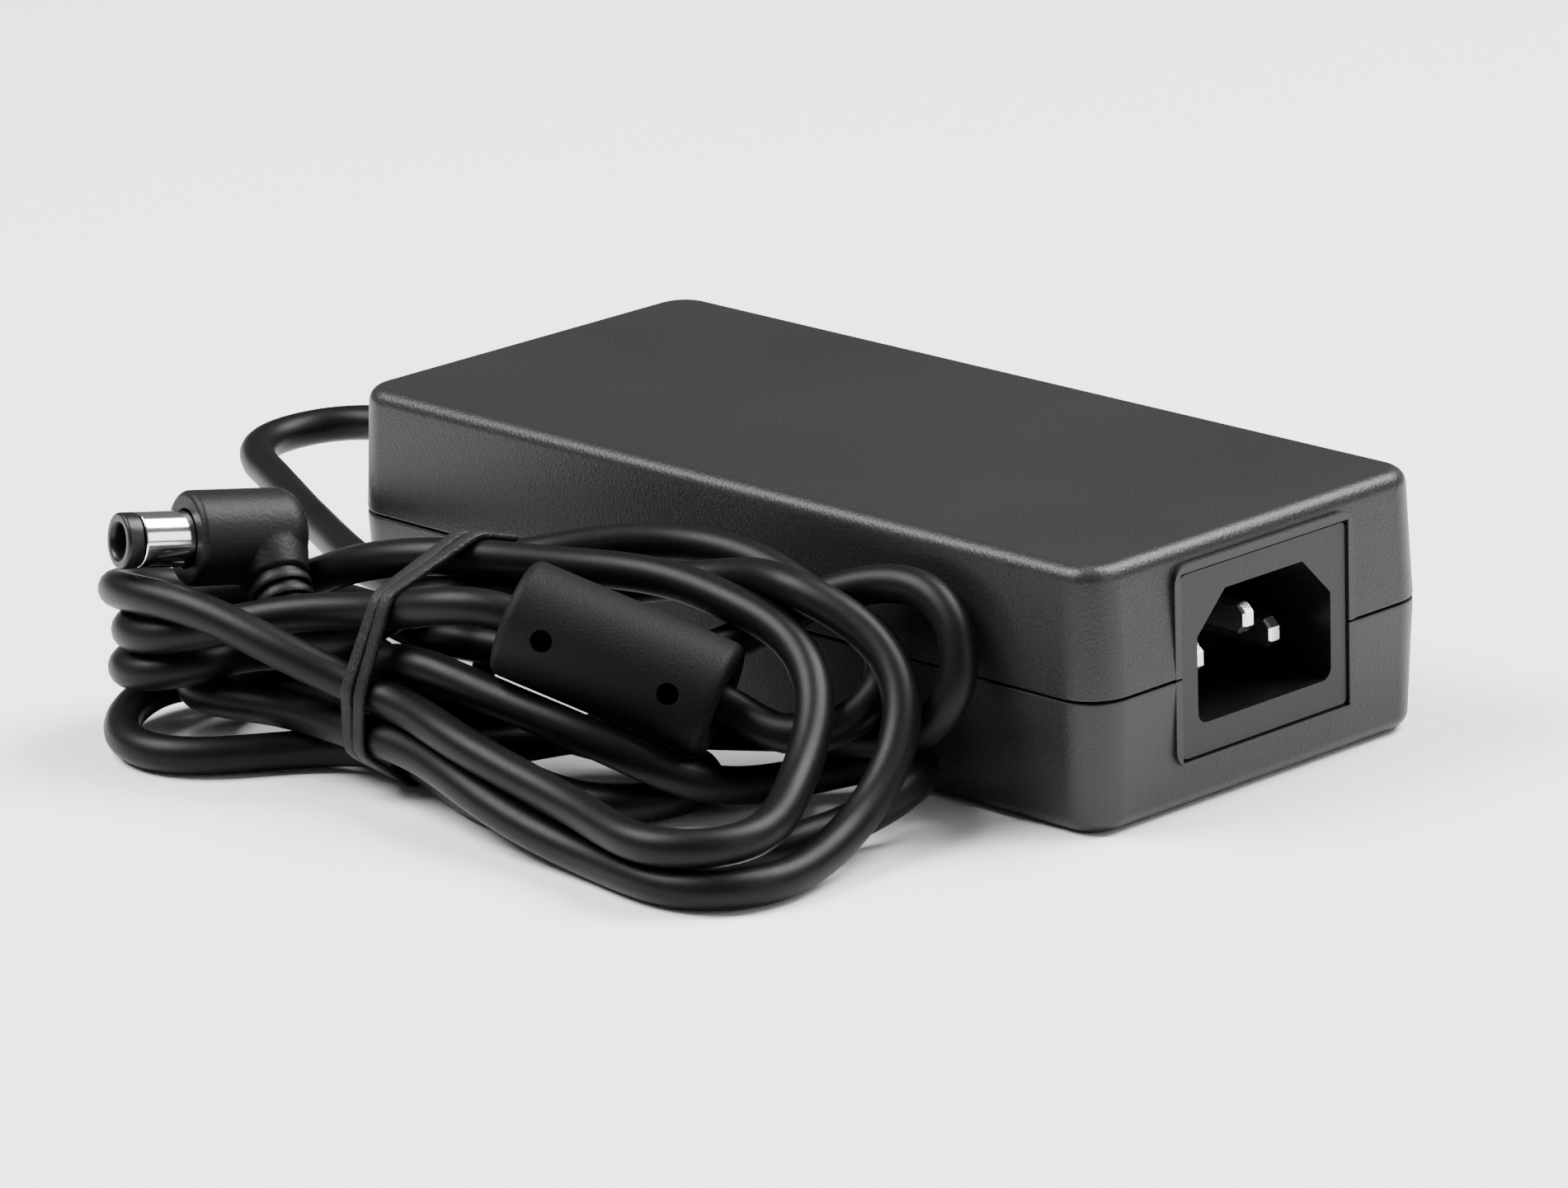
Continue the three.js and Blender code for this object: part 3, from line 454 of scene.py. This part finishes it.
def piece(name, data, slot, *nodes, look=None):
    """A shown piece that rides on the body and stands for the CAD nodes."""
    obj = bpy.data.objects.new(name, data)
    bpy.context.scene.collection.objects.link(obj)
    obj.data.materials.append(look or LOOKS[slot])
    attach(obj, "root")
    if nodes:
        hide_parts(*nodes)
    return obj


def rings_mesh(name, rings, around=False):
    """A closed skin over rings of equal length, in mm. Its ends are capped, or with around the
    last ring is joined to the first."""
    mesh = bpy.data.meshes.new(name)
    bm = bmesh.new()
    rows = [[bm.verts.new(Vector(p) * MM) for p in ring] for ring in rings]
    n = len(rings[0])
    pairs = list(zip(rows, rows[1:]))
    if around:
        pairs.append((rows[-1], rows[0]))
    for a, b in pairs:
        for i in range(n):
            j = (i + 1) % n
            bm.faces.new((a[i], a[j], b[j], b[i]))
    if not around:
        bm.faces.new(rows[0][::-1])
        bm.faces.new(rows[-1])
    bmesh.ops.recalc_face_normals(bm, faces=bm.faces)
    for face in bm.faces:
        face.smooth = True
    bm.to_mesh(mesh)
    bm.free()
    return mesh


def lathe_rings(profile, place, turn, sides=72):
    """Rings of a profile of (along, radius), turned about the local X axis at place."""
    rings = []
    for along, radius in profile:
        ring = []
        for i in range(sides):
            a = 2 * math.pi * i / sides
            point = (along, radius * math.cos(a), radius * math.sin(a))
            ring.append(place + turn @ np.array(point))
        rings.append(ring)
    return rings


def rounded(corners, radii, steps=5):
    """A profile of (along, radius) with its corners rounded."""
    out = []
    for i, (corner, r) in enumerate(zip(corners, radii)):
        if not r:
            out.append(corner)
            continue
        c = np.array(corner, float)
        a = np.array(corners[i - 1], float) - c
        b = np.array(corners[i + 1], float) - c
        start = c + a / np.linalg.norm(a) * r
        end = c + b / np.linalg.norm(b) * r
        for t in np.linspace(0, 1, steps):
            out.append(tuple((1 - t) ** 2 * start + 2 * t * (1 - t) * c + t * t * end))
    return out


# The cord

def make_cord():
    """One open curve along the settled line."""
    curve = bpy.data.curves.new("cord", "CURVE")
    curve.dimensions = "3D"
    curve.bevel_depth = CORD / 2 * MM
    curve.bevel_resolution = 6
    curve.use_fill_caps = True
    spline = curve.splines.new("POLY")
    spline.points.add(len(CORD_LINE) - 1)
    spline.points.foreach_set("co", np.c_[CORD_LINE * MM, np.ones(len(CORD_LINE))].ravel())
    spline.use_smooth = True
    return piece("cord", curve, "cord_jacket", "cord_lead", "cord_hank")


cord = make_cord()


# The elastic tie: two turns drawn tight around the strands where they cross the waist

WAIST_X = -15.5
BAND_THICK = 1.0
BAND_TURN = 2.0


def hull(points):
    """The convex outline of flat points."""
    points = sorted(map(tuple, points))

    def half(seq):
        out = []
        for p in seq:
            while len(out) > 1 and ((out[-1][0] - out[-2][0]) * (p[1] - out[-2][1])
                                    - (out[-1][1] - out[-2][1]) * (p[0] - out[-2][0])) <= 0:
                out.pop()
            out.append(p)
        return out[:-1]
    return np.array(half(points) + half(points[::-1]))


def band_loop(x, radius):
    """The tight outline, in (y, z), around the strands that cross the plane of this x."""
    a, b = CORD_LINE[:-1], CORD_LINE[1:]
    crossing = (a[:, 0] - x) * (b[:, 0] - x) < 0
    a, b = a[crossing], b[crossing]
    t = (x - a[:, 0]) / (b[:, 0] - a[:, 0])
    centres = a + t[:, None] * (b - a)
    circle = [(math.cos(u), math.sin(u)) for u in np.linspace(0, 2 * math.pi, 48, endpoint=False)]
    edge = hull([(y + radius * c, z + radius * s) for _, y, z in centres for c, s in circle])
    edge = np.r_[edge, edge[:1]]
    return even_steps(np.c_[np.full(len(edge), x), edge], 1.0)[:-1]


def make_band():
    """Two turns side by side, each a soft-cornered strip swept round its own tight outline."""
    section = [(math.copysign(abs(math.cos(u)) ** 0.6, math.cos(u)) * (BAND_TURN / 2 - 0.03),
                math.copysign(abs(math.sin(u)) ** 0.6, math.sin(u)) * BAND_THICK / 2)
               for u in np.linspace(0, 2 * math.pi, 16, endpoint=False)]
    loops = []
    for side in (-0.5, 0.5):
        x = WAIST_X + side * BAND_TURN
        loop = band_loop(x, CORD / 2 + BAND_THICK / 2 + 0.05)
        ahead = np.roll(loop, -1, axis=0) - np.roll(loop, 1, axis=0)
        ahead /= np.linalg.norm(ahead, axis=1, keepdims=True)
        out = np.cross(ahead, (1, 0, 0))
        rings = [[p + np.array((1, 0, 0)) * s + o * h for s, h in section]
                 for p, o in zip(loop, out)]
        loops.append(rings)
    first, second = (rings_mesh("band_turn", rings, around=True) for rings in loops)
    bm = bmesh.new()
    bm.from_mesh(first)
    bm.from_mesh(second)
    bm.to_mesh(first)
    bm.free()
    bpy.data.meshes.remove(second)
    return piece("tie_band_turns", first, "elastic", "tie_band")


band = make_band()


# Hard pieces, built finer than their CAD solids and in the same places

def carved(mesh, tool, operation="DIFFERENCE"):
    """mesh with tool taken from it, added to it or intersected with it."""
    objects = []
    for data in (mesh, tool):
        obj = bpy.data.objects.new("work", data)
        bpy.context.scene.collection.objects.link(obj)
        objects.append(obj)
    cut = objects[0].modifiers.new("cut", "BOOLEAN")
    cut.object = objects[1]
    cut.operation = operation
    cut.solver = "EXACT"
    seen = objects[0].evaluated_get(bpy.context.evaluated_depsgraph_get())
    result = bpy.data.meshes.new_from_object(seen)
    for obj in objects:
        bpy.data.objects.remove(obj)
    bpy.data.meshes.remove(mesh)
    bpy.data.meshes.remove(tool)
    return result


def joined(a, b):
    return carved(a, b, "UNION")


def crisp(obj, degrees=32):
    """Smooth shading, with the edges sharper than this left crisp and flat faces kept flat."""
    bpy.context.view_layer.objects.active = obj
    obj.select_set(True)
    bpy.ops.object.shade_smooth_by_angle(angle=math.radians(degrees))
    obj.select_set(False)
    even = obj.modifiers.new("even normals", "WEIGHTED_NORMAL")
    even.keep_sharp = True
    return obj


def lathe(name, profile, place=(0, 0, 0), turn=np.eye(3), sides=72):
    """A solid of a profile of (along, radius) about the local X axis. A closed profile, whose
    last point is its first, makes a ring."""
    ring = tuple(profile[0]) == tuple(profile[-1])
    rings = lathe_rings(profile[:-1] if ring else profile, np.array(place, float), turn, sides)
    return rings_mesh(name, rings, around=ring)


CASE = {
    "length": 138, "width": 64, "height": 35, "parting": 17.8, "draft": 0.9, "wall": 2.2,
    "corner": 6.0, "top_edge": 2.0, "bottom_edge": 2.2, "gap": 0.3, "lip": 1.0, "lip_height": 1.6,
}


def outline(z, inset, steps=10):
    """The case's plan outline at one height, drawn in by inset."""
    length, width = CASE["length"], CASE["width"]
    r = max(CASE["corner"] - inset, 0.4)
    ring = []
    for k, (sx, sy) in enumerate(((1, 1), (-1, 1), (-1, -1), (1, -1))):
        for a in np.linspace(k * math.pi / 2, (k + 1) * math.pi / 2, steps):
            ring.append((sx * (length / 2 - inset - r) + r * math.cos(a),
                         sy * (width / 2 - inset - r) + r * math.sin(a), z))
    return ring


def case_inset(z):
    """How far the drafted side has drawn in at this height."""
    reach = CASE["height"] - CASE["parting"] if z > CASE["parting"] else CASE["parting"]
    return CASE["draft"] * abs(z - CASE["parting"]) / reach


def case_skin(seam, end, edge, groove=0.22):
    """The outside of one shell from the parting line to its flat face, with a rounded long edge.
    The rim at the parting line has a small radius of its own."""
    way = 1 if end > seam else -1
    levels = [(seam, case_inset(seam) + groove), (seam + way * 0.1, case_inset(seam) + groove / 4),
              (seam + way * 0.3, case_inset(seam))]
    for t in np.linspace(0.25, 0.9, 3):
        z = seam + t * (end - way * edge - seam)
        levels.append((z, case_inset(z)))
    for a in np.linspace(0, math.pi / 2, 9):
        z = end - way * edge + way * edge * math.sin(a)
        levels.append((z, case_inset(z) + edge * (1 - math.cos(a))))
    return rings_mesh("shell", [outline(z, inset) for z, inset in levels])


def box_mesh(x0, x1, y0, y1, z0, z1):
    ring = [(y0, z0), (y1, z0), (y1, z1), (y0, z1)]
    return rings_mesh("box", [[(x, y, z) for y, z in ring] for x in (x0, x1)])


def rounded_block(x0, x1, width, bottom, top, radius, steps=8):
    """A block along X whose section, centred on y = 0, has rounded corners."""
    ring = []
    for k, (sy, z) in enumerate(((1, top - radius), (-1, top - radius),
                                 (-1, bottom + radius), (1, bottom + radius))):
        for a in np.linspace(k * math.pi / 2, (k + 1) * math.pi / 2, steps):
            y = sy * (width / 2 - radius) + radius * math.cos(a)
            ring.append((y, z + radius * math.sin(a)))
    return rings_mesh("block", [[(x, y, z) for y, z in ring] for x in (x0, x1)])


INLET_HOLE = (CASE["length"] / 2 - 8, CASE["length"] / 2 + 1, -15.8, 15.8, 6.6, 31.5)
INLET_RIM = (34, 6.0, 32.6, 2.4)      # width, bottom, top, corner radius
GLAND_HEIGHT = 17.8


def shell(upper):
    """One hollow half of the case, with its lip, the inlet's rim and hole, and the gland's hole."""
    half_gap = CASE["gap"] / 2
    seam = CASE["parting"] + (half_gap if upper else -half_gap)
    end = CASE["height"] if upper else 0
    mesh = case_skin(seam, end, CASE["top_edge"] if upper else CASE["bottom_edge"])
    front = CASE["length"] / 2
    rim = rounded_block(front - 4, front, *INLET_RIM)
    keep = box_mesh(0, 80, -40, 40, *((seam, 34) if upper else (1, seam)))
    mesh = joined(mesh, carved(rim, keep, "INTERSECT"))
    lip = seam + CASE["lip_height"]
    inner = CASE["wall"]
    if upper:
        heights = (CASE["parting"] - 11, CASE["height"] - CASE["wall"])
        rebate = rings_mesh("rebate", [outline(seam - 1, CASE["lip"]),
                                       outline(lip + CASE["gap"], CASE["lip"])])
        mesh = carved(mesh, rebate)
    else:
        heights = (CASE["wall"], CASE["parting"] + 5)
        tongue = rings_mesh("tongue", [outline(seam - 2, CASE["lip"] + CASE["gap"]),
                                       outline(lip, CASE["lip"] + CASE["gap"])])
        mesh = joined(mesh, tongue)
    levels = (heights[0], CASE["parting"], heights[1])
    mesh = carved(mesh, rings_mesh("cavity", [outline(z, inner + case_inset(z)) for z in levels]))
    mesh = carved(mesh, box_mesh(*INLET_HOLE))
    hole = lathe("hole", [(-front - 6, 4.9), (-front + 6, 4.9)], (0, 0, GLAND_HEIGHT), sides=48)
    return carved(mesh, hole)


crisp(piece("case_top", shell(True), "case", "upper_case"))
crisp(piece("case_base", shell(False), "case", "lower_case"))


def make_strain_relief():
    """Flange inside the wall, neck, collar, then five ribs that taper towards the cord."""
    collar, ribs, root, tip, out, bore = 1.8, 5, 4.9, 3.7, 21.0, 2.56
    pitch = (out - 3) / ribs
    profile = [(-6, bore), (-6, 6.4), (-3.4, 6.4), (-3.4, 4.6), (0.4, 4.6),
               *rounded([(0.4, 4.6), (0.4, root + 1.1), (collar, root + 1.1), (collar, root)],
                        (0, 0.3, 0.5, 0), 5)[1:-1]]
    for i in range(ribs):
        r = root + (tip - root) * i / ribs
        start = collar + i * pitch
        for t in np.linspace(0, 1, 7):
            crown = 0.18 * math.sin(math.pi * t)
            profile.append((start + 0.1 + pitch * 0.56 * t, r - 0.18 + crown))
        profile += [(start + pitch * 0.66, r - 0.66), (start + pitch * 0.72, r - 0.75),
                    (start + pitch * 0.9, r - 0.75), (start + pitch * 0.96, r - 0.6)]
    profile += [(out - 1.1, tip), (out - 0.4, tip), (out - 0.1, tip - 0.12), (out, tip - 0.4),
                (out, bore), (-6, bore)]
    turn = turned("Z", 180)
    mesh = lathe("strain_relief", profile, (-CASE["length"] / 2, 0, GLAND_HEIGHT), turn, 64)
    return crisp(piece("strain_relief", mesh, "moulding", "cord_strain_relief"), 40)


def make_ferrite():
    """The hollow moulded cover, round at its ends, with its two vent holes."""
    r, half, bore = FERRITE["radius"], FERRITE["half"], FERRITE["bore"] - 0.25
    edge, wall, vent = FERRITE["edge"], FERRITE["wall"], FERRITE["vent_radius"]
    end = [(half - edge + edge * math.sin(a), r - edge + edge * math.cos(a))
           for a in np.linspace(0, math.pi / 2, 8)]
    mouth = [(half - 0.05, bore + 1.3), (half - 0.5, bore + 0.9), (half - 0.9, bore)]
    right = end + mouth
    left = [(-x, q) for x, q in right[::-1]]
    inner = half - wall - 0.6
    hollow = [(inner, bore), (inner, r - wall), (-inner, r - wall), (-inner, bore)]
    body = [(x, r) for x in np.linspace(-half + edge, half - edge, 5)[1:-1]]
    profile = left + body + right + hollow
    mesh = lathe("ferrite_shell", profile + [profile[0]], FERRITE_PLACE, FERRITE_TURN, 96)
    for side in (-1, 1):
        place = FERRITE_PLACE + FERRITE_AXIS * side * FERRITE["vent_at"]
        across = FERRITE_TURN @ turned("X", FERRITE["vent_turn"]) @ turned("Y", 90)
        drill = lathe("drill", [(-r - 2, vent), (-r + 2.4, vent)], place, across, 32)
        mesh = carved(mesh, drill)
    return crisp(piece("ferrite_shell", mesh, "moulding", "ferrite_cover", look=FERRITE_COAT), 40)


def make_plug():
    """A body with a domed back, and a branch with three ribs where the cord goes in."""
    r, half = PLUG["radius"], PLUG["half"]
    back = [(-half + 3.2 * (1 - math.cos(a)), r - 3.2 + 3.2 * math.sin(a))
            for a in np.linspace(0.02, math.pi / 2, 12)]
    front = [(half - 0.9 + 0.9 * math.sin(a), r - 0.9 + 0.9 * math.cos(a))
             for a in np.linspace(0, math.pi / 2, 6)]
    body = lathe("body", [(-half, 1.0)] + back + front + [(half, 1.0)], PLUG_PLACE, PLUG_TURN, 80)
    size, reach = PLUG["branch_radius"], PLUG["branch"]
    profile = [(0, size + 1.2), (2.4, size + 1.1), (4.2, size + 0.75), (5.8, size + 0.3),
               (reach - 6.9, size + 0.02), (reach - 6.6, size - 0.15)]
    for i in range(3):
        h = reach - 6.3 + i * 2.1
        q = size - 0.15 * (i + 1)
        profile += [(h, q - 0.55), (h + 0.35, q - 0.62), (h + 0.7, q - 0.55), (h + 0.85, q - 0.1),
                    (h + 1.2, q), (h + 1.7, q), (h + 2.0, q - 0.14)]
    profile += [(reach, profile[-1][1] - 0.4)]
    turn = PLUG_TURN @ turned("Z", 90)
    branch = lathe("branch", profile, on_plug(PLUG["branch_at"], 0), turn, 64)
    mesh = joined(body, branch)
    socket = lathe("socket", [(half - 3, 4.0), (half + 3, 4.0)], PLUG_PLACE, PLUG_TURN, 64)
    mesh = carved(mesh, socket)
    root = on_plug(PLUG["branch_at"], 0)
    well = lathe("well", [(reach - 3, 2.56), (reach + 3, 2.56)], root, turn, 48)
    return crisp(piece("plug_moulding", carved(mesh, well), "moulding", "plug_body"), 40)


def make_barrel():
    """The bright sleeve, the black ring at its tip with an open bore, and the contact inside."""
    start, tip, end = (PLUG["half"] + d for d in (-2.7, 7.3, 9.5))
    r = PLUG["sleeve_radius"]
    outside = rounded([(start, 3.1), (start, r), (tip - 0.3, r), (tip - 0.3, 3.1)],
                      (0, 0.2, 0.25, 0), 5)
    mesh = lathe("plug_chrome", outside + [(start, 3.1)], PLUG_PLACE, PLUG_TURN, 96)
    sleeve = piece("plug_chrome", mesh, "sleeve_metal", "plug_sleeve")
    profile = rounded([(start + 3, 2.1), (start + 3, 2.8), (tip, 2.8), (tip, r), (end, r),
                       (end, 2.6), (end - 0.8, 2.1)], (0, 0, 0, 0.15, 0.45, 0.2, 0), 6)
    mesh = lathe("plug_tip", profile + [profile[0]], PLUG_PLACE, PLUG_TURN, 96)
    tip_ring = piece("plug_tip", mesh, "inlet_plastic", "plug_insulator")
    profile = [(start + 0.2, 0.3), (start + 0.2, 1.6), (start + 2, 1.6), (start + 2, 0.5),
               (end - 2, 0.5), (end - 1.65, 0.38), (end - 1.5, 0.1)]
    mesh = lathe("plug_pin", profile, PLUG_PLACE, PLUG_TURN, 32)
    pin = piece("plug_pin", mesh, "contact_metal", "plug_contact")
    return [crisp(obj, 40) for obj in (sleeve, tip_ring, pin)]


make_strain_relief()
ferrite = make_ferrite()
plug = make_plug()
barrel = make_barrel()


# Studio: a pale floor and soft lights

def make_floor():
    mesh = bpy.data.meshes.new("floor")
    bm = bmesh.new()
    bmesh.ops.create_grid(bm, x_segments=8, y_segments=8, size=6)
    bm.to_mesh(mesh)
    bm.free()
    floor = bpy.data.objects.new("floor", mesh)
    bpy.context.scene.collection.objects.link(floor)
    mesh.materials.append(surface("paper", 0.90, 0.94, 0.38, drift=3, grain=600, relief=0.05,
                                  specular=0.35))
    floor.location.z = -0.0002


def make_light(name, power, size, place, target=(0, -0.02, 0.015)):
    """A square area light, in watts and metres, turned towards the object."""
    data = bpy.data.lights.new(name, "AREA")
    data.energy = power
    data.size = size
    light = bpy.data.objects.new(name, data)
    direction = Vector(target) - Vector(place)
    light.matrix_world = (Matrix.Translation(place)
                          @ direction.to_track_quat("-Z", "Y").to_matrix().to_4x4())
    bpy.context.scene.collection.objects.link(light)


def make_world():
    world = bpy.data.worlds.new("studio")
    world.use_nodes = True
    background = world.node_tree.nodes["Background"]
    background.inputs["Color"].default_value = (1, 1, 1, 1)
    background.inputs["Strength"].default_value = 0.19
    bpy.context.scene.world = world


make_floor()
make_world()
make_light("overhead_back", 48, 0.8, (0.28, 0.62, 1.0))
make_light("overhead_front", 40, 0.7, (-0.5, -0.55, 1.0))
make_light("right_side", 5.5, 0.7, (1.2, 0.1, 0.5))
